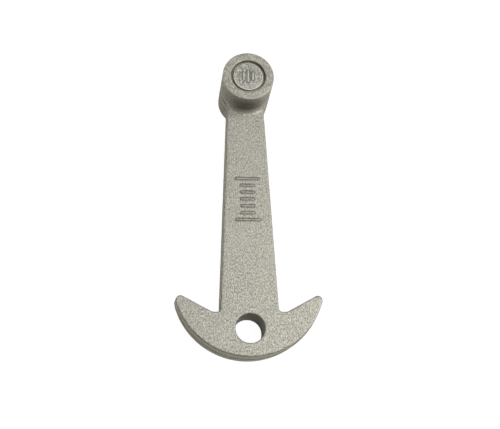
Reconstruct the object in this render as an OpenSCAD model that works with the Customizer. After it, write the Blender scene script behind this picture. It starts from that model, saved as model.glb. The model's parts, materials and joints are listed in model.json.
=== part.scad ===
// Swinging anchor arm: a cast arm with an anchor-shaped crown and a round hub,
// a bush pressed into the hub, and a headed pivot pin kept in place by a washer
// and a retaining ring in the hub's rear mouth.
// Millimetres. The origin is the centre of the crown eye on the flat rear face:
// +X runs across the flukes, +Y up the shank to the hub, +Z out of the front face.
// The arm's outline is its widest one, at the parting line halfway through the plate.

/* [Arm] */
// Distance from the crown eye to the hub axis
arm_length = 119.5; // [105:0.5:135]
// Thickness of the shank and the crown
plate_thickness = 15.5; // [12:0.5:18]
// Width that the shank's taper reaches at the level of the eye
shank_width_at_eye = 28.4; // [27:0.1:30]
// Width that the shank's taper reaches at the hub axis
shank_width_at_hub = 17.6; // [15:0.1:20]

/* [Crown] */
// Radius of the crown's long bottom curve
crown_radius = 35.65; // [34.5:0.05:37]
// Distance from the eye's centre down to the crown's lowest point
crown_depth = 13.25; // [12.5:0.05:14]
// Height of the notch floors above the eye's centre
notch_height = 8.05; // [7.5:0.05:8.5]
// Distance from the centre line to where a fluke's upper edge starts to rise
fluke_start = 17; // [16.8:0.1:18]
// Rise of a fluke's upper edge, in degrees
fluke_angle = 28.7; // [26:0.1:31]
// Radius of a fluke's rounded tip
tip_radius = 2.7; // [2:0.1:3]
// Fillet radius between the shank and a notch floor
notch_fillet = 1.2; // [0.8:0.1:1.5]
// Blend radius between a notch floor and a fluke
fluke_blend = 3.5; // [2:0.5:4]
// Diameter of the crown eye
eye_diameter = 13.5; // [12:0.1:15.5]

/* [Hub] */
// Outer diameter of the hub
hub_diameter = 25.2; // [24:0.1:28]
// Length of the hub along its axis
hub_length = 30; // [28:0.5:34]
// Bore of the hub, where the bush is pressed in
hub_bore = 16.8; // [16.7:0.1:17.6]
// Fillet radius where the hub rises from the shank
hub_fillet = 1.5; // [0.8:0.1:2.5]

/* [Bush] */
// Depth of the bush's end face below the hub's front rim
bush_recess = 1.8; // [1.6:0.1:3]
// Radial running clearance between the pin and the bush
running_clearance = 0.04; // [0.02:0.01:0.08]

/* [Pivot pin] */
// Diameter of the pin's shank
pin_diameter = 12; // [11:0.1:12.4]
// Diameter of the pin's round head
head_diameter = 14.4; // [13.6:0.1:15]
// Depth of the head's face below the hub's front rim
head_recess = 0.6; // [0.4:0.1:0.8]
// Play between the bush and the head, and between the bush and the washer
end_play = 0.15; // [0.1:0.05:0.2]
// Diameter of the tapped hole's wall in the pin's rear end
tapped_diameter = 5; // [4.2:0.1:5.4]
// Depth of the tapped hole's straight wall
tapped_depth = 14; // [10:0.5:18]

/* [Retaining ring] */
// Distance from the pin's rear end to the ring's groove
groove_setback = 1.3; // [1:0.1:2]
// Diameter at the bottom of the groove
groove_diameter = 11; // [10.6:0.1:11.2]
// Thickness of the ring and of the washer behind it
ring_thickness = 1; // [0.8:0.1:1.2]
// Outer diameter of the thrust washer
washer_diameter = 16.2; // [15.4:0.1:16.4]

/* [Cast marks] */
// Height of the raised marks on the shank
mark_height = 0.4; // [0.3:0.1:0.8]
// Length of the two cross bars on the shank
bar_length = 11.5; // [9:0.5:13]
// Distance between the two cross bars
bar_spacing = 20.7; // [18:0.1:24]
// Length of the short ticks between the bars
tick_length = 6.6; // [5:0.2:8]
// Number of short ticks
tick_count = 5; // [3:1:7]
// Distance from the eye to the middle of the marks
mark_centre = 61.8; // [55:0.1:70]

/* [Hidden] */
$fn = 96;

// A little extra length, so that cutting tools pass through the faces they open
cut = 1;
mark_width = 1;
mark_sink = 0.5;
ridge_height = 0.3;
ridge_width = 0.9;
ridge_length = 6.6;
ridge_step = 2.4;
ridge_pitch = 2.2;
chamfer = 0.6;
groove_play = 0.05;
washer_play = 0.2;
drill_point_angle = 59;
lug_radius = 1.55;
lug_angle = 28;
lug_hole_radius = 0.6;
ring_offset = 0.5;
ring_slack = 0.03;
foot_margin = 0.2;

taper = (shank_width_at_eye - shank_width_at_hub) / 2 / arm_length;
crown_centre = crown_radius - crown_depth;

// Front and rear faces of the pieces inside the hub, along Z
head_face = hub_length - head_recess;
bush_front = hub_length - bush_recess;
head_seat = bush_front + end_play;
ring_rear = groove_setback;
washer_rear = ring_rear + ring_thickness;
bush_rear = washer_rear + ring_thickness + end_play;

// Half of the shank's width at the distance y from the eye
function half_width(y) = shank_width_at_eye / 2 - taper * y;

// Direction of a fluke's upper edge, and the normal that points into the metal
edge_way = [cos(fluke_angle), sin(fluke_angle)];
edge_in = [sin(fluke_angle), -cos(fluke_angle)];
edge_point = [fluke_start, notch_height];

// The tip circle touches the fluke's upper edge and the crown curve from inside
tip_from = edge_point + tip_radius * edge_in - [0, crown_centre];
tip_along = -tip_from * edge_way
    + sqrt(pow(tip_from * edge_way, 2) - tip_from * tip_from + pow(crown_radius - tip_radius, 2));
tip_centre = [0, crown_centre] + tip_from + tip_along * edge_way;
tip_ray = tip_centre - [0, crown_centre];

// Centres of the two inner corners' arcs
blend_centre = edge_point + [-fluke_blend * tan(fluke_angle / 2), fluke_blend];
fillet_y = notch_height + notch_fillet;
fillet_centre = [half_width(fillet_y) + notch_fillet * norm([1, taper]), fillet_y];

// Points along an arc, with both its ends; angles in degrees from +X
function arc(centre, radius, from, to, steps) = [
    for (i = [0:steps])
        let (angle = from + (to - from) * i / steps)
            centre + radius * [cos(angle), sin(angle)]
];

// Right half of the arm's outline, from the crown's lowest point up to the shank's
// end inside the hub's wall
shank_end = arm_length - hub_bore / 4;
tip_angle = atan2(tip_ray[1], tip_ray[0]);
right_outline = concat(
    arc([0, crown_centre], crown_radius, -90, tip_angle, 36),
    [for (i = [1:12]) arc(tip_centre, tip_radius, tip_angle, 90 + fluke_angle, 12)[i]],
    arc(blend_centre, fluke_blend, fluke_angle - 90, -90, 5),
    arc(fillet_centre, notch_fillet, -90, atan(taper) - 180, 10),
    [[half_width(shank_end), shank_end]]
);

// A straight tube with its lower end at z
module tube(outer, inner, z, length) {
    translate([0, 0, z])
        difference() {
            cylinder(r = outer, h = length);
            translate([0, 0, -cut]) cylinder(r = inner, h = length + 2 * cut);
        }
}

// Shank and crown seen from the front, without the eye
module arm_outline() {
    mirrored = [for (i = [len(right_outline) - 1:-1:1]) [-right_outline[i][0], right_outline[i][1]]];
    polygon(concat(right_outline, mirrored));
}

// Concave fillet round the foot of the hub, kept inside the width of the shank
module hub_foot() {
    foot_radius = hub_diameter / 2 + hub_fillet;
    foot_width = 2 * (half_width(shank_end) - foot_margin);
    foot_length = hub_diameter;
    intersection() {
        translate([0, arm_length, plate_thickness])
            rotate_extrude()
                difference() {
                    translate([hub_diameter / 2 - cut, -cut])
                        square([hub_fillet + cut, hub_fillet + cut]);
                    translate([foot_radius, hub_fillet]) circle(r = hub_fillet, $fn = 48);
                }
        translate([-foot_width / 2, shank_end - foot_length, plate_thickness - cut])
            cube([foot_width, foot_length, hub_fillet + 2 * cut]);
    }
}

// Raised marks on the shank: a ladder of short ticks between two longer cross bars
module shank_marks() {
    pitch = bar_spacing / (tick_count + 1);
    lowest = mark_centre - bar_spacing / 2 - mark_width / 2;
    for (step = [0:tick_count + 1])
        let (length = step == 0 || step > tick_count ? bar_length : tick_length)
            translate([-length / 2, lowest + step * pitch, plate_thickness - mark_sink])
                cube([length, mark_width, mark_height + mark_sink]);
}

// The casting: shank, crown with two flukes, and hub, in one piece
module anchor_arm() {
    color([0.66, 0.65, 0.59])
        difference() {
            union() {
                linear_extrude(height = plate_thickness) arm_outline();
                translate([0, arm_length, 0]) cylinder(d = hub_diameter, h = hub_length);
                hub_foot();
                shank_marks();
            }
            translate([0, 0, -cut]) cylinder(d = eye_diameter, h = plate_thickness + 2 * cut);
            translate([0, arm_length, -cut]) cylinder(d = hub_bore, h = hub_length + 2 * cut);
        }
}

// Plain bush, pressed into the hub below its front rim
module hub_bush() {
    color([0.42, 0.38, 0.27])
        translate([0, arm_length, 0])
            tube(hub_bore / 2, pin_diameter / 2 + running_clearance, bush_rear, bush_front - bush_rear);
}

// The pin's turned shape, a half profile from its rear end to its head
module pin_body() {
    shank_radius = pin_diameter / 2;
    groove_low = groove_setback - groove_play;
    groove_high = groove_setback + ring_thickness + groove_play;
    rotate_extrude()
        polygon([
            [0, 0],
            [shank_radius - chamfer, 0],
            [shank_radius, chamfer],
            [shank_radius, groove_low],
            [groove_diameter / 2, groove_low],
            [groove_diameter / 2, groove_high],
            [shank_radius, groove_high],
            [shank_radius, head_seat],
            [head_diameter / 2, head_seat],
            [head_diameter / 2, head_face],
            [0, head_face]
        ]);
}

// Tapped hole in the pin's rear end, with a countersunk mouth and a drill point
module pin_hole() {
    hole_radius = tapped_diameter / 2;
    translate([0, 0, -cut]) cylinder(r = hole_radius, h = tapped_depth + cut);
    translate([0, 0, -chamfer]) cylinder(r1 = hole_radius + 2 * chamfer, r2 = hole_radius, h = 2 * chamfer);
    translate([0, 0, tapped_depth])
        cylinder(r1 = hole_radius, r2 = 0, h = hole_radius / tan(drill_point_angle));
}

// Grade marks on the pin's head: three ridges side by side, the middle one longer
module head_marks() {
    for (side = [-1, 0, 1])
        let (length = ridge_length - ridge_step * abs(side))
            translate([side * ridge_pitch - ridge_width / 2, -length / 2, head_face - ridge_height])
                cube([ridge_width, length, 2 * ridge_height]);
}

// Headed pivot pin that carries the arm
module pivot_pin() {
    color([0.68, 0.68, 0.63])
        translate([0, arm_length, 0]) {
            difference() {
                pin_body();
                pin_hole();
            }
            head_marks();
        }
}

// Flat washer between the bush and the retaining ring
module thrust_washer() {
    color([0.6, 0.6, 0.58])
        translate([0, arm_length, 0])
            tube(washer_diameter / 2, pin_diameter / 2 + washer_play, washer_rear, ring_thickness);
}

// Retaining ring: tapered in width, open at the bottom, with two plier lugs
module retaining_ring() {
    inner = groove_diameter / 2 + ring_slack;
    lug_reach = inner + lug_radius - cut / 2;
    color([0.33, 0.33, 0.34])
        translate([0, arm_length, ring_rear])
            linear_extrude(height = ring_thickness)
                difference() {
                    union() {
                        translate([0, ring_offset]) circle(r = inner + 2 * ring_offset + cut);
                        for (side = [-1, 1])
                            rotate(-90 + side * lug_angle)
                                translate([lug_reach, 0]) circle(r = lug_radius, $fn = 48);
                    }
                    circle(r = inner);
                    polygon([
                        [0, 0],
                        2 * inner * [sin(-lug_angle / 2), -cos(lug_angle / 2)],
                        2 * inner * [sin(lug_angle / 2), -cos(lug_angle / 2)]
                    ]);
                    for (side = [-1, 1])
                        rotate(-90 + side * lug_angle)
                            translate([lug_reach, 0]) circle(r = lug_hole_radius, $fn = 32);
                }
}

anchor_arm();
hub_bush();
pivot_pin();
thrust_washer();
retaining_ring();
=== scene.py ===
"""Looks of a cast, anchor-shaped swing arm that turns on a headed pin.

Shapes are signed distances in millimetres, in the CAD model's frame: the origin is the centre of
the crown's eye on the rear face, +X runs across the flukes, +Y up the shank and +Z out of the
front face. A surface net turns each distance field into a mesh.
"""

import json
import math

import bpy
import numpy as np
from mathutils import Matrix, Vector, noise


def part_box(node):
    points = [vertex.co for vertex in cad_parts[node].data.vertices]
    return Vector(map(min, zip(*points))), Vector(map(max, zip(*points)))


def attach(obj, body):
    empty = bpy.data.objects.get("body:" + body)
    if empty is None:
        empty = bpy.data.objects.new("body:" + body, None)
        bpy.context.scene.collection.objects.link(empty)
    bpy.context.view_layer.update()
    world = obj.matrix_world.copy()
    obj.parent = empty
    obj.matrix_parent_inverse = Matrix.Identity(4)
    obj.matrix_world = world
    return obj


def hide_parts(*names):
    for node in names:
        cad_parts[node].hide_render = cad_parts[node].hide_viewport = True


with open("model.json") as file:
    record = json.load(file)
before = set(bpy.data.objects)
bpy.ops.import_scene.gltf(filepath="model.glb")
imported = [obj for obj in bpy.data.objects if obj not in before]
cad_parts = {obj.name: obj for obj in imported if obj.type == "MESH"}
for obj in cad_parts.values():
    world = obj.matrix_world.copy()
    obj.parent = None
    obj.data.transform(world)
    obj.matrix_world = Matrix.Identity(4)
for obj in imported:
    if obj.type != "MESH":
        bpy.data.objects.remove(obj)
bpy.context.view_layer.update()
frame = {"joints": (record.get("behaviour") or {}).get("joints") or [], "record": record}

MM = 0.001


def box_mm(node):
    """Lowest and highest corner of a CAD node, in millimetres."""
    return [np.array(corner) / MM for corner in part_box(node)]


def mount(name):
    """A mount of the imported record."""
    return next(m for m in frame["record"]["mounts"] if m["name"] == name)


# Sizes that the frame gives
ARM_LOW, ARM_HIGH = box_mm("anchor_arm")
BUSH_LOW, BUSH_HIGH = box_mm("hub_bush")
PIN_LOW, PIN_HIGH = box_mm("pivot_pin")
WASHER_LOW, WASHER_HIGH = box_mm("thrust_washer")
RING_LOW, RING_HIGH = box_mm("retaining_ring")
HUB_Y = frame["joints"][0]["pos_m"][1] / MM
HUB_LENGTH = ARM_HIGH[2]
HUB_RADIUS = ARM_HIGH[1] - HUB_Y
CROWN_DEPTH = -ARM_LOW[1]
EYE_RADIUS = mount("crown_eye")["dims"]["r_mm"]
PLATE = mount("crown_eye")["dims"]["length_mm"]
BORE_RADIUS = BUSH_HIGH[0]
TAP_RADIUS = mount("pin_tapped_hole")["dims"]["r_mm"]

# The arm's outline at its parting line, as the CAD model has it
CROWN_RADIUS = 35.65
NOTCH_HEIGHT = 8.05
FLUKE_START = 17
FLUKE_ANGLE = 28.7
TIP_RADIUS = 2.7
NOTCH_FILLET = 1.2
FLUKE_BLEND = 3.5
WIDTH_AT_EYE = 28.4
WIDTH_AT_HUB = 17.6

# What casting and machining do to the arm's faces and edges
DRAFT_DEPTH = 0.25
RIDGE_DEPTH = 0.2
RIDGE_WIDTH = 0.35
PLATE_EDGE = 0.6
HUB_DRAFT = 0.05
HUB_EDGE = 0.45
HUB_RIDGE = 0.08
SIDE_FILLET = 1.2
FOOT_FILLET = 1.8
EYE_EDGE = 0.1
BORE_EDGE = 0.3
CAST_STEP = 0.39
WALL_STEP = 0.9
# Width of the painted shade beside the raised marks
MARK_SHADE_WIDTH = 0.5
MACHINED_FADE = 0.15
WEAR_WIDTH = 0.4
WEAR_REACH = 1.5

# Wear on the raised marks of the pin's head, and painted shade beside them and beside the shank's marks
PIN_MARK_WEAR = 0.45
PIN_MARK_SHADE = 0.9
SHANK_MARK_SHADE = 0.75

# Painted shade on the hub's front wall: heights above the plate, and how far it spreads sideways in hub
# radii
WALL_SHADE_START = 1.6
WALL_SHADE_RISE = 2.2
WALL_SHADE_FADE = 9
WALL_SHADE_SPREAD = 0.8

# Painted shade lines on the plate's sides: below the front edge, and above the middle of its thickness
FRONT_LINE_DROP = 0.8
FRONT_LINE_WIDTH = 0.6
PARTING_LINE_RISE = 0.7
PARTING_LINE_WIDTH = 0.5
PARTING_LINE_SHARE = 0.7

# Raised marks on the shank, as the CAD model has them
MARK_CENTRE = 61.8
MARK_HEIGHT = 0.4
MARK_WIDTH = 1.0
MARK_EDGE = 0.3
BAR_LENGTH = 11.5
BAR_SPACING = 20.7
TICK_LENGTH = 6.6
TICK_COUNT = 5

# The pin
PIN_RADIUS = 6.0
HEAD_RADIUS = PIN_HIGH[0]
END_PLAY = 0.15
HEAD_SEAT = BUSH_HIGH[2] + END_PLAY
GRADE_HEIGHT = 0.3
HEAD_FACE = PIN_HIGH[2] - GRADE_HEIGHT
HEAD_EDGE = 0.3
GRADE_WIDTH = 0.9
GRADE_EDGE = 0.12
GRADE_PITCH = 2.2
GRADE_LENGTHS = (4.2, 6.6, 4.2)
GROOVE_RADIUS = 5.5
GROOVE_PLAY = 0.05
TAP_DEPTH = 14.0
THREAD_PITCH = 1.0
THREAD_DEPTH = 0.45
POINT_ANGLE = 59
PIN_CHAMFER = 0.6
PIN_STEP = 0.22

# The retaining ring, the washer and the bush
RING_INNER = 5.53
RING_OFFSET = 0.5
LUG_RADIUS = 1.55
LUG_ANGLE = 28
LUG_HOLE_RADIUS = 0.6
RING_EDGE = 0.15
RING_STEP = 0.13
WASHER_INNER = 6.2
WASHER_EDGE = 0.15
BUSH_INNER = 6.04
BUSH_EDGE = 0.3


# ---------------------------------------------------------------- distance fields


def meet(a, b, radius):
    """Solid common to two fields, with its outer edge rounded."""
    u = np.maximum(a + radius, 0)
    v = np.maximum(b + radius, 0)
    return np.minimum(-radius, np.maximum(a, b)) + np.hypot(u, v)


def join(a, b, radius):
    """Solid of either field, with its inner corner filled to a radius."""
    return -meet(-a, -b, radius)


def line_distance(x, y, start, end):
    """Signed distance to a straight stretch of an outline, with the metal on its left."""
    along = (end - start) / np.linalg.norm(end - start)
    run = np.clip((x - start[0]) * along[0] + (y - start[1]) * along[1], 0, math.dist(start, end))
    off_x = x - start[0] - run * along[0]
    off_y = y - start[1] - run * along[1]
    right_side = (x - start[0]) * along[1] - (y - start[1]) * along[0]
    return np.hypot(off_x, off_y) * np.where(right_side > 0, 1, -1)


def arc_distance(x, y, centre, radius, start, end, hollow=False):
    """Signed distance to an arc between two angles in degrees, far away outside them."""
    off_x = x - centre[0]
    off_y = y - centre[1]
    turned = (np.degrees(np.arctan2(off_y, off_x)) - start) % 360
    distance = np.hypot(off_x, off_y) - radius
    if hollow:
        distance = -distance
    return np.where(turned <= end - start, distance, np.inf)


def on_circle(centre, radius, degrees):
    """The point of a circle at an angle."""
    angle = math.radians(degrees)
    return np.array(centre) + radius * np.array([math.cos(angle), math.sin(angle)])


def half_width(y):
    """Half of the shank's width at the distance y from the eye."""
    return WIDTH_AT_EYE / 2 - TAPER * y


TAPER = (WIDTH_AT_EYE - WIDTH_AT_HUB) / 2 / HUB_Y
TAPER_ANGLE = math.degrees(math.atan(TAPER))
CROWN_CENTRE = np.array([0, CROWN_RADIUS - CROWN_DEPTH])
EDGE_WAY = on_circle((0, 0), 1, FLUKE_ANGLE)
EDGE_IN = np.array([EDGE_WAY[1], -EDGE_WAY[0]])
EDGE_POINT = np.array([FLUKE_START, NOTCH_HEIGHT])


def tip_circle():
    """Centre of the fluke's tip circle, which touches the upper edge and the crown from inside."""
    start = EDGE_POINT + TIP_RADIUS * EDGE_IN - CROWN_CENTRE
    reach = (CROWN_RADIUS - TIP_RADIUS) ** 2 - start @ start
    run = -(start @ EDGE_WAY) + math.sqrt((start @ EDGE_WAY) ** 2 + reach)
    return CROWN_CENTRE + start + run * EDGE_WAY


TIP_CENTRE = tip_circle()
TIP_ANGLE = math.degrees(math.atan2(*(TIP_CENTRE - CROWN_CENTRE)[::-1]))
BLEND_CENTRE = EDGE_POINT + np.array([-FLUKE_BLEND * math.tan(math.radians(FLUKE_ANGLE / 2)), FLUKE_BLEND])
FILLET_Y = NOTCH_HEIGHT + NOTCH_FILLET
FILLET_CENTRE = np.array([half_width(FILLET_Y) + NOTCH_FILLET * math.hypot(1, TAPER), FILLET_Y])


def outline(x, y):
    """Signed distance to the arm's outline seen from the front, negative in the metal."""
    x = np.abs(x)
    edge_end = on_circle(TIP_CENTRE, TIP_RADIUS, 90 + FLUKE_ANGLE)
    edge_start = on_circle(BLEND_CENTRE, FLUKE_BLEND, FLUKE_ANGLE - 90)
    floor_end = on_circle(BLEND_CENTRE, FLUKE_BLEND, -90)
    floor_start = on_circle(FILLET_CENTRE, NOTCH_FILLET, -90)
    shank_start = on_circle(FILLET_CENTRE, NOTCH_FILLET, TAPER_ANGLE - 180)
    shank_end = np.array([half_width(2 * HUB_Y), 2 * HUB_Y])
    stretches = (
        arc_distance(x, y, CROWN_CENTRE, CROWN_RADIUS, -90, TIP_ANGLE),
        arc_distance(x, y, TIP_CENTRE, TIP_RADIUS, TIP_ANGLE, 90 + FLUKE_ANGLE),
        line_distance(x, y, edge_end, edge_start),
        arc_distance(x, y, BLEND_CENTRE, FLUKE_BLEND, -90, FLUKE_ANGLE - 90, hollow=True),
        line_distance(x, y, floor_end, floor_start),
        arc_distance(x, y, FILLET_CENTRE, NOTCH_FILLET, TAPER_ANGLE - 180, -90, hollow=True),
        line_distance(x, y, shank_start, shank_end),
    )
    nearest = stretches[0]
    for distance in stretches[1:]:
        nearest = np.where(np.abs(distance) < np.abs(nearest), distance, nearest)
    return nearest


def parting_inset(z):
    """How far the arm's sides stand back from the parting line at half the plate's thickness."""
    off = z - PLATE / 2
    return DRAFT_DEPTH * np.abs(off) / (PLATE / 2) + RIDGE_DEPTH * (1 - np.exp(-((off / RIDGE_WIDTH) ** 2)))


def plate(x, y, z):
    """Shank and crown, with draft, a parting ridge and rounded edges."""
    side = np.maximum(outline(x, y), y - HUB_Y) + parting_inset(z)
    return meet(side, np.abs(z - PLATE / 2) - PLATE / 2, PLATE_EDGE)


def hub(x, y, z):
    """The hub's round outside, slimmer towards its front end."""
    above = np.maximum(z - PLATE / 2, 0) / (HUB_LENGTH - PLATE / 2)
    side = np.hypot(x, y - HUB_Y) - HUB_RADIUS + HUB_DRAFT * above
    side = side + HUB_RIDGE * (1 - np.exp(-(((z - PLATE / 2) / RIDGE_WIDTH) ** 2)))
    return meet(side, np.abs(z - HUB_LENGTH / 2) - HUB_LENGTH / 2, HUB_EDGE)


def stroke(x, y, centre, length, width):
    """A flat stroke along X, with round corners, seen from the front."""
    off_x = np.abs(x - centre[0]) - length / 2 + width / 2
    off_y = np.abs(y - centre[1])
    return np.hypot(np.maximum(off_x, 0), off_y) - width / 2


def shank_marks(x, y):
    """The raised marks seen from the front: a ladder of ticks between two longer bars."""
    flat = stroke(x, np.abs(y - MARK_CENTRE), (0, BAR_SPACING / 2), BAR_LENGTH, MARK_WIDTH)
    pitch = BAR_SPACING / (TICK_COUNT + 1)
    for k in range(TICK_COUNT):
        centre = (0, MARK_CENTRE + (k - (TICK_COUNT - 1) / 2) * pitch)
        flat = np.minimum(flat, stroke(x, y, centre, TICK_LENGTH, MARK_WIDTH))
    return flat


def arm(x, y, z):
    """The whole casting, with its eye and the hub's bore."""
    side = SIDE_FILLET * np.clip(z / SIDE_FILLET - 1, 0.02, 1)
    front = np.clip((z - PLATE) / 2 + 1, 0, 1)
    body = join(plate(x, y, z), hub(x, y, z), side + front * (FOOT_FILLET - SIDE_FILLET))
    marks = meet(shank_marks(x, y), z - PLATE - MARK_HEIGHT, MARK_EDGE)
    marks = np.maximum(marks, PLATE / 2 - z)
    body = join(body, marks, MARK_EDGE)
    body = meet(body, EYE_RADIUS - np.hypot(x, y), EYE_EDGE)
    return meet(body, BORE_RADIUS - np.hypot(x, y - HUB_Y), BORE_EDGE)


def pin(x, y, z):
    """The headed pin, with its ring groove, its grade marks and its tapped hole."""
    y = y - HUB_Y
    radius = np.hypot(x, y)
    stem = meet(radius - PIN_RADIUS, -z, PIN_CHAMFER)
    stem = np.maximum(stem, z - HEAD_FACE + HEAD_EDGE)
    head = np.abs(z - (HEAD_SEAT + HEAD_FACE) / 2) - (HEAD_FACE - HEAD_SEAT) / 2
    head = meet(radius - HEAD_RADIUS, head, HEAD_EDGE)
    body = np.minimum(stem, head)
    body = join(body, grade_marks(x, y, z), GRADE_EDGE)
    groove = np.abs(z - (RING_LOW[2] + RING_HIGH[2]) / 2) - (RING_HIGH[2] - RING_LOW[2]) / 2 - GROOVE_PLAY
    body = np.maximum(body, -np.maximum(groove, GROOVE_RADIUS - radius))
    return np.maximum(body, -tapped_hole(x, y, z, radius))


def grade_outline(x, y):
    """Three upright ridges side by side on the pin's head, seen from the front."""
    flat = np.inf
    for i, length in enumerate(GRADE_LENGTHS):
        flat = np.minimum(flat, stroke(y, x, (0, (i - 1) * GRADE_PITCH), length, GRADE_WIDTH))
    return flat


def grade_marks(x, y, z):
    """The ridges on the pin's head."""
    ridges = meet(grade_outline(x, y), z - PIN_HIGH[2], GRADE_EDGE)
    return np.maximum(ridges, HEAD_SEAT - z)


def tapped_hole(x, y, z, radius):
    """The hole in the pin's rear end: countersink, thread and drill point."""
    turn = z / THREAD_PITCH - np.arctan2(y, x) / (2 * math.pi)
    wave = 0.5 - 0.5 * np.cos(2 * math.pi * turn)
    faded = np.clip((TAP_DEPTH - THREAD_PITCH - z) / THREAD_PITCH, 0, 1)
    thread = radius - TAP_RADIUS - THREAD_DEPTH * wave * faded
    thread = np.maximum(thread, z - TAP_DEPTH - (TAP_RADIUS - radius) / math.tan(math.radians(POINT_ANGLE)))
    return np.minimum(thread, (radius - TAP_RADIUS - PIN_CHAMFER + z) * math.sqrt(0.5))


def ring(x, y, z):
    """The retaining ring: wider at the top, open at the bottom, with two drilled lugs."""
    y = y - HUB_Y
    flat = np.hypot(x, y - RING_OFFSET) - RING_HIGH[0]
    reach = RING_INNER + LUG_RADIUS - 0.5
    lug = on_circle((0, 0), reach, LUG_ANGLE - 90)
    lug_radius = np.hypot(np.abs(x) - lug[0], y - lug[1])
    flat = np.minimum(flat, lug_radius - LUG_RADIUS)
    flat = np.maximum(flat, RING_INNER - np.hypot(x, y))
    half_gap = math.radians(LUG_ANGLE / 2)
    gap = np.abs(x) * math.cos(half_gap) + y * math.sin(half_gap)
    flat = meet(flat, np.where(y < 0, -gap, -1.0), RING_EDGE)
    flat = meet(flat, LUG_HOLE_RADIUS - lug_radius, RING_EDGE)
    middle = (RING_LOW[2] + RING_HIGH[2]) / 2
    return meet(flat, np.abs(z - middle) - (RING_HIGH[2] - RING_LOW[2]) / 2, RING_EDGE)


# ---------------------------------------------------------------- meshes


def ruler(low, high, step):
    """Even steps from just below low to just above high."""
    return np.arange(low - 1.5 * step, high + 2 * step, step)


def net(field, axes):
    """Points and quads of the surface where a field is zero, on a grid given by its three axes."""
    value = field(axes[0][:, None, None], axes[1][None, :, None], axes[2][None, None, :])
    shape = value.shape
    quads = []
    crossings = []
    for axis in range(3):
        first = np.moveaxis(value, axis, 0)[:-1] < 0
        second = np.moveaxis(value, axis, 0)[1:] < 0
        cell = np.moveaxis(np.array(np.nonzero(np.moveaxis(first != second, 0, axis))), 0, 1)
        beyond = cell.copy()
        beyond[:, axis] += 1
        here, there = value[tuple(cell.T)], value[tuple(beyond.T)]
        point = cell.astype(float)
        point[:, axis] += here / (here - there)
        corners = []
        for back_u, back_v in ((0, 0), (1, 0), (1, 1), (0, 1)):
            corner = cell.copy()
            corner[:, (axis + 1) % 3] -= back_u
            corner[:, (axis + 2) % 3] -= back_v
            corners.append(np.ravel_multi_index(corner.T, shape))
        quad = np.stack(corners, 1)
        crossings += [(c, point) for c in corners]
        quads.append(np.where((here < 0)[:, None], quad, quad[:, ::-1]))
    cells, order = np.unique(np.concatenate([c for c, _ in crossings]), return_inverse=True)
    points = np.concatenate([p for _, p in crossings])
    count = np.bincount(order)
    middle = np.stack([np.bincount(order, points[:, k]) / count for k in range(3)], 1)
    points = [np.interp(middle[:, k], np.arange(len(axes[k])), axes[k]) for k in range(3)]
    return np.stack(points, 1), np.searchsorted(cells, np.concatenate(quads))


def slope(field, points, reach=0.004):
    """A field's gradient at points, and its values there."""
    rows = []
    for axis in range(3):
        shift = np.zeros(3)
        shift[axis] = reach
        rows.append(field(*(points + shift).T) - field(*(points - shift).T))
    grad = np.stack(rows, 1) / (2 * reach)
    return grad, field(*points.T)


def settle(field, points, step, rounds=4):
    """Moves points onto the surface along the field's slope, by no more than the net's step."""
    start = points.copy()
    for _ in range(rounds):
        grad, value = slope(field, points)
        points = points - (value / np.maximum((grad**2).sum(1), 0.25))[:, None] * grad
        points = start + np.clip(points - start, -step, step)
    return points


def grain(points, size, seed):
    """Smooth noise from 0 to 1 at points, with lumps about as wide as size."""
    shift = Vector((seed, 2 * seed, 3 * seed))
    return np.array([0.5 + 0.5 * noise.noise(Vector(p) / size + shift) for p in points])


def new_piece(name, points, faces, body, node):
    """A shaded mesh piece, in metres, that rides on a body and stands for a CAD node."""
    mesh = bpy.data.meshes.new(name)
    mesh.from_pydata((points * MM).tolist(), [], faces.tolist())
    mesh.polygons.foreach_set("use_smooth", np.ones(len(faces), bool))
    mesh.update()
    piece = bpy.data.objects.new(name, mesh)
    bpy.context.scene.collection.objects.link(piece)
    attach(piece, body)
    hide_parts(node)
    return piece


def machined_share(points):
    """1 on the walls of the eye and the hub's bore below the bush's end, 0 on the cast skin."""
    eye = np.hypot(points[:, 0], points[:, 1]) - EYE_RADIUS
    bore = np.hypot(points[:, 0], points[:, 1] - HUB_Y) - BORE_RADIUS
    bore = bore + np.maximum(points[:, 2] - BUSH_HIGH[2], 0)
    return np.clip(1 - np.minimum(eye, bore) / MACHINED_FADE, 0, 1)


def mark_shade_share(edge):
    """Painted shade share: 1 just outside the outline of a raised mark, fading out within the painted shade
    width on both sides.
    """
    return np.clip(1 - np.abs(edge - MARK_SHADE_WIDTH / 3) / MARK_SHADE_WIDTH, 0, 1)


def edge_wear(points):
    """1 on the rubbed front edges of the plate and the hub, 0 a little way off them."""
    x, y, z = points[:, 0], points[:, 1], points[:, 2]
    plate_edge = np.hypot(outline(x, y), z - PLATE)
    hub_edge = np.hypot(np.hypot(x, y - HUB_Y) - HUB_RADIUS, z - HUB_LENGTH)
    return np.clip(WEAR_REACH - np.minimum(plate_edge, hub_edge) / WEAR_WIDTH, 0, 1)


def painted_wall_shade(points):
    """Painted shade on the hub's front wall, darkest in the middle and fading up, down and sideways."""
    x, y, z = points[:, 0], points[:, 1] - HUB_Y, points[:, 2] - PLATE
    off = np.hypot(x, y) - HUB_RADIUS
    on_wall = np.clip(off + 1, 0, 1) * np.clip(2 - off, 0, 1) * (y < 0)
    upward = np.clip((z - WALL_SHADE_START) / WALL_SHADE_RISE, 0, 1)
    upward = upward * np.clip(2 - z / WALL_SHADE_FADE, 0, 1)
    sideways = np.exp(-((x / (WALL_SHADE_SPREAD * HUB_RADIUS)) ** 2))
    return on_wall * upward * sideways


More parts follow.
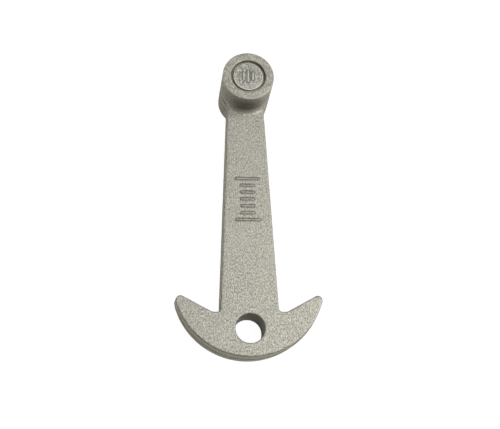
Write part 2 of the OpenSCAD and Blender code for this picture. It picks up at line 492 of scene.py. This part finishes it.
def painted_edge_shade(points):
    """Painted shade on the plate's sides, in a line under the front edge and one just above the parting
    line.
    """
    side = np.clip(outline(points[:, 0], points[:, 1]) / 0.4 + 2, 0, 1) * (points[:, 1] < HUB_Y)
    z = points[:, 2]
    line = np.exp(-(((z - PLATE + FRONT_LINE_DROP) / FRONT_LINE_WIDTH) ** 2))
    parting = np.exp(-(((z - PLATE / 2 - PARTING_LINE_RISE) / PARTING_LINE_WIDTH) ** 2))
    return side * (line + PARTING_LINE_SHARE * parting)


def store(piece, name, values):
    """Keeps a number per point on a piece's mesh, for its material."""
    share = piece.data.attributes.new(name, "FLOAT", "POINT")
    share.data.foreach_set("value", values.astype(np.float32))


def wall_ruler():
    """Heights for the arm's net: fine at its faces and its parting line, coarse between."""
    near = 3.5 * CAST_STEP
    fine = [
        (-1.5 * CAST_STEP, near),
        (PLATE / 2 - 0.9, PLATE / 2 + 0.9),
        (PLATE - near, PLATE + 2),
        (HUB_LENGTH - near, HUB_LENGTH + 1.5 * CAST_STEP),
    ]
    heights = []
    for start, end in fine:
        if heights:
            gap = start - heights[-1]
            heights += list(np.linspace(heights[-1], start, round(gap / WALL_STEP) + 1)[1:-1])
        step = CAST_STEP if end > PLATE / 2 + 1 or end < PLATE / 2 else CAST_STEP / 2
        heights += list(np.linspace(start, end, round((end - start) / step) + 1))
    return np.array(heights)


def make_arm():
    """The casting, with the grain of its blasted skin left off its machined walls."""
    axes = [ruler(ARM_LOW[k], ARM_HIGH[k], CAST_STEP) for k in range(2)]
    points, faces = net(arm, axes + [wall_ruler()])
    points = settle(arm, points, CAST_STEP)
    grad, _ = slope(arm, points)
    normal = grad / np.linalg.norm(grad, axis=1)[:, None]
    machined = machined_share(points)
    depth = 0.05 * grain(points, 5.0, 3) + 0.07 * grain(points, 1.5, 11)
    points = points - normal * (depth * (1 - machined))[:, None]
    piece = new_piece("arm_casting", points, faces, "arm", "anchor_arm")
    store(piece, "machined", machined)
    store(piece, "wear", edge_wear(points))
    on_front = np.clip((points[:, 2] - PLATE + 1) / 0.5, 0, 1)
    # Painted shade beside the shank's marks, on the hub's front wall and in lines along the plate's sides
    in_marks = SHANK_MARK_SHADE * on_front * mark_shade_share(shank_marks(points[:, 0], points[:, 1]))
    store(piece, "painted_shade", np.maximum(np.maximum(in_marks, painted_wall_shade(points)), painted_edge_shade(points)))
    return piece


def make_pin():
    """The pin, its head blasted like the arm."""
    points, faces = net(pin, [ruler(a, b, PIN_STEP) for a, b in zip(PIN_LOW, PIN_HIGH)])
    points = settle(pin, points, PIN_STEP)
    on_head = np.clip((points[:, 2] - HEAD_SEAT) / 0.3, 0, 1)
    face = np.clip((points[:, 2] - HEAD_FACE + 0.5) / 0.3, 0, 1)
    points[:, 2] -= face * 0.14 * grain(points, 1.1, 5)
    piece = new_piece("pivot_pin_turned", points, faces, "pivot", "pivot_pin")
    store(piece, "machined", 1 - on_head)
    x, y = points[:, 0], points[:, 1] - HUB_Y
    rim = np.hypot(np.hypot(x, y) - HEAD_RADIUS, points[:, 2] - HEAD_FACE)
    ridges = face * np.clip(0.5 - grade_outline(x, y) / 0.2, 0, 1)
    rim_wear = np.clip(WEAR_REACH - rim / WEAR_WIDTH, 0, 1)
    store(piece, "wear", np.maximum(rim_wear, PIN_MARK_WEAR * ridges))
    # Painted shade beside the ridges on the pin's head
    store(piece, "painted_shade", PIN_MARK_SHADE * face * mark_shade_share(grade_outline(x, y)) * (1 - ridges))
    return piece


def make_ring():
    """The stamped retaining ring."""
    points, faces = net(ring, [ruler(a, b, RING_STEP) for a, b in zip(RING_LOW, RING_HIGH)])
    points = settle(ring, points, RING_STEP)
    return new_piece("retaining_ring_stamped", points, faces, "pivot", "retaining_ring")


def rounded(corners, radius, steps=5):
    """A closed profile of (radius, z) corners, with each right-angled corner rounded."""
    points = []
    for i, corner in enumerate(corners):
        before = np.array(corners[i - 1]) - corner
        after = np.array(corners[(i + 1) % len(corners)]) - corner
        before = before / np.linalg.norm(before)
        after = after / np.linalg.norm(after)
        centre = np.array(corner) + radius * (before + after)
        for k in range(steps + 1):
            angle = math.radians(90 * k / steps)
            points.append(centre - radius * (after * math.cos(angle) + before * math.sin(angle)))
    return np.array(points)


def turned(name, inner, outer, low, high, edge, body, node, slot, around=160):
    """A round piece turned on a lathe, with all four of its edges rounded."""
    corners = [(inner, low), (outer, low), (outer, high), (inner, high)]
    profile = rounded(corners, edge)
    angles = np.arange(around) * 2 * math.pi / around
    x = np.outer(np.cos(angles), profile[:, 0])
    y = np.outer(np.sin(angles), profile[:, 0]) + HUB_Y
    z = np.outer(np.ones(around), profile[:, 1])
    points = np.stack([x.ravel(), y.ravel(), z.ravel()], 1)
    i, k = np.meshgrid(np.arange(around), np.arange(len(profile)), indexing="ij")
    i2, k2 = (i + 1) % around, (k + 1) % len(profile)
    n = len(profile)
    faces = np.stack([i * n + k, i2 * n + k, i2 * n + k2, i * n + k2], -1).reshape(-1, 4)
    return new_piece(name, points, faces, body, node)


# ---------------------------------------------------------------- materials


class Nodes:
    """A material's node tree, built with short calls."""

    def __init__(self, name):
        self.material = bpy.data.materials.new(name)
        self.material.use_nodes = True
        self.tree = self.material.node_tree
        self.shader = self.tree.nodes["Principled BSDF"]
        stretch = self.add("ShaderNodeMapping", Vector=self.add("ShaderNodeTexCoord").outputs["Object"])
        stretch.inputs["Scale"].default_value = (1, 0.55, 1)
        self.place = stretch.outputs["Vector"]

    def add(self, kind, **values):
        """A new node, with its own settings or its inputs set by name."""
        node = self.tree.nodes.new(kind)
        for key, value in values.items():
            if hasattr(node, key):
                setattr(node, key, value)
            else:
                self.put(node.inputs[key.replace("_", " ")], value)
        return node

    def put(self, socket, value):
        """Sets a socket to a number or a colour, or links an output to it."""
        if isinstance(value, bpy.types.NodeSocket):
            self.tree.links.new(value, socket)
        else:
            socket.default_value = value

    def noise(self, size, detail=3.0, roughness=0.6):
        """Noise with lumps of a size in millimetres, a little longer along the shank."""
        node = self.add("ShaderNodeTexNoise", Vector=self.place, Scale=1 / (size * MM), Detail=detail)
        node.inputs["Roughness"].default_value = roughness
        return node.outputs["Fac"]

    def cells(self, size):
        """Distance to the nearest of random points, a size in millimetres apart."""
        node = self.add("ShaderNodeTexVoronoi", Vector=self.place, Scale=1 / (size * MM))
        return node.outputs["Distance"]

    def ramp(self, value, *stops):
        """A ramp through (position, grey or colour) stops."""
        node = self.add("ShaderNodeValToRGB", Fac=value)
        points = node.color_ramp.elements
        while len(points) < len(stops):
            points.new(0.5)
        for point, (at, colour) in zip(points, stops):
            point.position = at
            point.color = (colour, colour, colour, 1) if isinstance(colour, (int, float)) else (*colour, 1)
        return node.outputs["Color"]

    def mix(self, share, first, second):
        """Two colours mixed."""
        node = self.add("ShaderNodeMix", data_type="RGBA")
        self.put(node.inputs[0], share)
        self.put(node.inputs[6], first if not isinstance(first, tuple) else (*first, 1))
        self.put(node.inputs[7], second if not isinstance(second, tuple) else (*second, 1))
        return node.outputs[2]

    def sum(self, first, second, how="ADD"):
        """Arithmetic on two numbers."""
        node = self.add("ShaderNodeMath", operation=how)
        self.put(node.inputs[0], first)
        self.put(node.inputs[1], second)
        return node.outputs[0]

    def bump(self, height, depth):
        """A normal from a height, whose full range stands for a depth in millimetres."""
        node = self.add("ShaderNodeBump", Height=height, Distance=depth * MM)
        node.inputs["Strength"].default_value = 1.0
        return node.outputs["Normal"]

    def attribute(self, name):
        """A number stored on the mesh."""
        return self.add("ShaderNodeAttribute", attribute_name=name).outputs["Fac"]


def cast_metal(name, light, dark, depth):
    """Blasted cast steel: warm grey grain with bright specks painted in as glints, painted shade where the
    mesh stores it, machined where the mesh says so.
    """
    made = Nodes(name)
    machined = made.attribute("machined")
    fine = made.noise(0.55, 1.5, 0.6)
    coarse = made.noise(1.8, 2)
    glint_spot = made.cells(0.6)
    tone = made.ramp(fine, (0.36, dark), (0.62, light))
    tone = made.mix(made.ramp(coarse, (0.35, 0.15), (0.6, 0.0)), tone, dark)
    cloudy = made.ramp(made.noise(14, 2), (0.35, 0.0), (0.7, 0.3))
    tone = made.mix(cloudy, tone, tuple(0.85 * c for c in light))
    # Bright specks painted into the colour as glints
    painted_glint = made.ramp(glint_spot, (0.15, 0.6), (0.3, 0.0))
    tone = made.mix(painted_glint, tone, tuple(min(1, 1.6 * c) for c in light))
    tone = made.mix(made.attribute("wear"), tone, tuple(1.2 * c for c in light))
    # Painted shade: the mesh's share darkens the tone towards 0.3 of the dark colour
    tone = made.mix(made.attribute("painted_shade"), tone, tuple(0.3 * c for c in dark))
    bare = made.ramp(made.noise(3, 2), (0.3, (0.2, 0.19, 0.165)), (0.7, (0.27, 0.262, 0.23)))
    tone = made.mix(machined, tone, bare)
    made.put(made.shader.inputs["Base Color"], tone)
    made.shader.inputs["Metallic"].default_value = 0.5
    rough = made.ramp(made.noise(1.4, 3), (0.3, 0.48), (0.7, 0.66))
    made.put(made.shader.inputs["Roughness"], made.mix(machined, rough, (0.4, 0.4, 0.4)))
    height = made.sum(fine, made.sum(coarse, 0.6, "MULTIPLY"))
    height = made.sum(height, made.sum(1.0, machined, "SUBTRACT"), "MULTIPLY")
    made.put(made.shader.inputs["Normal"], made.bump(height, depth))
    return made.material


def bush_metal():
    """Old bronze, dark with oil and dirt."""
    made = Nodes("aged_bronze")
    dirt = made.ramp(made.noise(2.2, 4), (0.35, (0.17, 0.155, 0.11)), (0.7, (0.32, 0.295, 0.215)))
    made.put(made.shader.inputs["Base Color"], dirt)
    made.shader.inputs["Metallic"].default_value = 0.1
    made.put(made.shader.inputs["Roughness"], made.ramp(made.noise(1.1), (0.3, 0.45), (0.7, 0.7)))
    made.put(made.shader.inputs["Normal"], made.bump(made.noise(0.5), 0.03))
    return made.material


def plain_metal(name, light, dark, rough, depth):
    """Satin or coated steel with a fine grain."""
    made = Nodes(name)
    tone = made.ramp(made.noise(0.8, 4), (0.3, dark), (0.7, light))
    made.put(made.shader.inputs["Base Color"], tone)
    made.shader.inputs["Metallic"].default_value = 1.0
    made.put(made.shader.inputs["Roughness"], made.ramp(made.noise(0.6), (0.3, rough), (0.7, rough + 0.2)))
    made.put(made.shader.inputs["Normal"], made.bump(made.noise(0.25), depth))
    return made.material


# ---------------------------------------------------------------- the stage

# Metres
BOX_DISTANCE = 1.1
SHEET_HALF = 2.0
WALL_RADIUS = 1.9
WALL_TOP = 6.0
WALL_SIDES = 48

# The lens, its distance and the point on the plate's front that it aims at, in millimetres, and its
# turns in degrees
LENS = 60.29
CAMERA_DISTANCE = 394.65
CAMERA_TURNS = ((-6.556, "Y"), (18.834, "X"), (-1.261, "Z"))
CAMERA_AIM = (0.92, 54.04)

# The seen floor and wall are nearly all glow, so that they stay white in any light
STAGE_GREY = (0.06, 0.06, 0.06)
STAGE_GLOW = 0.98


def make_camera():
    """The camera, above the arm's front face and turned a little off its axes."""
    camera = bpy.data.cameras.new("camera")
    camera.lens = LENS
    camera.sensor_width = 36
    camera.clip_start = 0.01
    camera.clip_end = 20
    holder = bpy.data.objects.new("camera", camera)
    bpy.context.scene.collection.objects.link(holder)
    place = Matrix.Translation(Vector((*CAMERA_AIM, PLATE)) * MM)
    for degrees, axis in CAMERA_TURNS:
        place = place @ Matrix.Rotation(math.radians(degrees), 4, axis)
    holder.matrix_world = place @ Matrix.Translation((0, 0, CAMERA_DISTANCE * MM))
    bpy.context.scene.camera = holder


def stage_piece(name, corners, faces, colour, glow):
    """A matt piece of the stage, in metres, with a glow of its own."""
    mesh = bpy.data.meshes.new(name)
    mesh.from_pydata(corners, [], faces)
    piece = bpy.data.objects.new(name, mesh)
    bpy.context.scene.collection.objects.link(piece)
    paint = bpy.data.materials.new(name)
    paint.use_nodes = True
    shader = paint.node_tree.nodes["Principled BSDF"]
    shader.inputs["Base Color"].default_value = (*colour, 1)
    shader.inputs["Roughness"].default_value = 0.9
    shader.inputs["Emission Color"].default_value = (1, 1, 1, 1)
    shader.inputs["Emission Strength"].default_value = glow
    mesh.materials.append(paint)
    return piece


def level_sheet(name, height, colour, glow):
    """A large level sheet at a height in millimetres."""
    half = SHEET_HALF
    corners = [(-half, -half), (half, -half), (half, half), (-half, half)]
    return stage_piece(name, [(x, y, height * MM) for x, y in corners], [(0, 1, 2, 3)], colour, glow)


def round_wall():
    """A tall white wall round the floor, which closes the view in every direction."""
    corners = []
    for k in range(WALL_SIDES):
        angle = 2 * math.pi * k / WALL_SIDES
        for height in (-0.01, WALL_TOP):
            corners.append((WALL_RADIUS * math.cos(angle), WALL_RADIUS * math.sin(angle), height))
    faces = []
    for k in range(WALL_SIDES):
        after = (k + 1) % WALL_SIDES
        faces.append((2 * k, 2 * k + 1, 2 * after + 1, 2 * after))
    return stage_piece("backdrop", corners, faces, STAGE_GREY, STAGE_GLOW)


def make_stage():
    """A plain pale floor and wall that are seen, and a white sheet underneath that lights the object."""
    for seen in (level_sheet("floor", -0.4, STAGE_GREY, STAGE_GLOW), round_wall()):
        seen.visible_diffuse = False
        seen.visible_glossy = False
        seen.visible_shadow = False
    under = level_sheet("floor_light", -0.6, (0.6, 0.57, 0.5), 0.125)
    under.visible_camera = False


def make_softbox(name, azimuth, elevation, size, watts):
    """A square area light, aimed at the arm's middle from a direction given in degrees."""
    turn = Matrix.Rotation(math.radians(azimuth), 4, "Z")
    turn = turn @ Matrix.Rotation(math.radians(-elevation), 4, "Y")
    aim = Vector((0, HUB_Y / 2, PLATE / 2)) * MM
    place = aim + turn @ Vector((BOX_DISTANCE, 0, 0))
    lamp = bpy.data.lights.new(name, "AREA")
    lamp.shape = "SQUARE"
    lamp.size = size
    lamp.energy = watts
    holder = bpy.data.objects.new(name, lamp)
    bpy.context.scene.collection.objects.link(holder)
    holder.location = place
    holder.rotation_mode = "QUATERNION"
    holder.rotation_quaternion = (aim - place).to_track_quat("-Z", "Y")


def make_light():
    """A large soft box above the right side, and three weak ones around it."""
    world = bpy.data.worlds.new("tent")
    bpy.context.scene.world = world
    world.use_nodes = True
    world.node_tree.nodes["Background"].inputs["Color"].default_value = (1, 1, 1, 1)
    world.node_tree.nodes["Background"].inputs["Strength"].default_value = 0.04
    make_softbox("right_box", 0, 62, 0.8, 13.4)
    make_softbox("back_box", 135, 12, 0.6, 3.5)
    make_softbox("left_box", 180, 35, 0.6, 3.0)
    make_softbox("front_box", -30, 20, 0.6, 3.0)


def make_look():
    """Plain colour management, so that white stays white."""
    view = bpy.context.scene.view_settings
    view.view_transform = "Standard"
    view.look = "None"
    view.exposure = 0
    view.gamma = 1


def main():
    """Makes the stage and all five pieces."""
    make_camera()
    make_stage()
    make_light()
    make_look()
    warm = (0.46, 0.448, 0.385)
    arm_piece = make_arm()
    arm_piece.data.materials.append(cast_metal("cast_skin", warm, (0.2, 0.194, 0.162), 0.14))
    pin_piece = make_pin()
    pin_piece.data.materials.append(cast_metal("pin_skin", (0.52, 0.51, 0.45), (0.12, 0.117, 0.1), 0.3))
    bush = turned("hub_bush_turned", BUSH_INNER, BORE_RADIUS, BUSH_LOW[2], BUSH_HIGH[2], BUSH_EDGE,
                  "arm", "hub_bush", "bush_bronze")
    bush.data.materials.append(bush_metal())
    washer = turned("thrust_washer_turned", WASHER_INNER, WASHER_HIGH[0], WASHER_LOW[2], WASHER_HIGH[2],
                    WASHER_EDGE, "pivot", "thrust_washer", "washer_steel")
    washer.data.materials.append(plain_metal("satin_steel", (0.4, 0.4, 0.38), (0.3, 0.3, 0.28), 0.35, 0.01))
    ring_piece = make_ring()
    dark_spring = plain_metal("dark_spring", (0.12, 0.12, 0.13), (0.06, 0.06, 0.065), 0.4, 0.01)
    ring_piece.data.materials.append(dark_spring)


main()
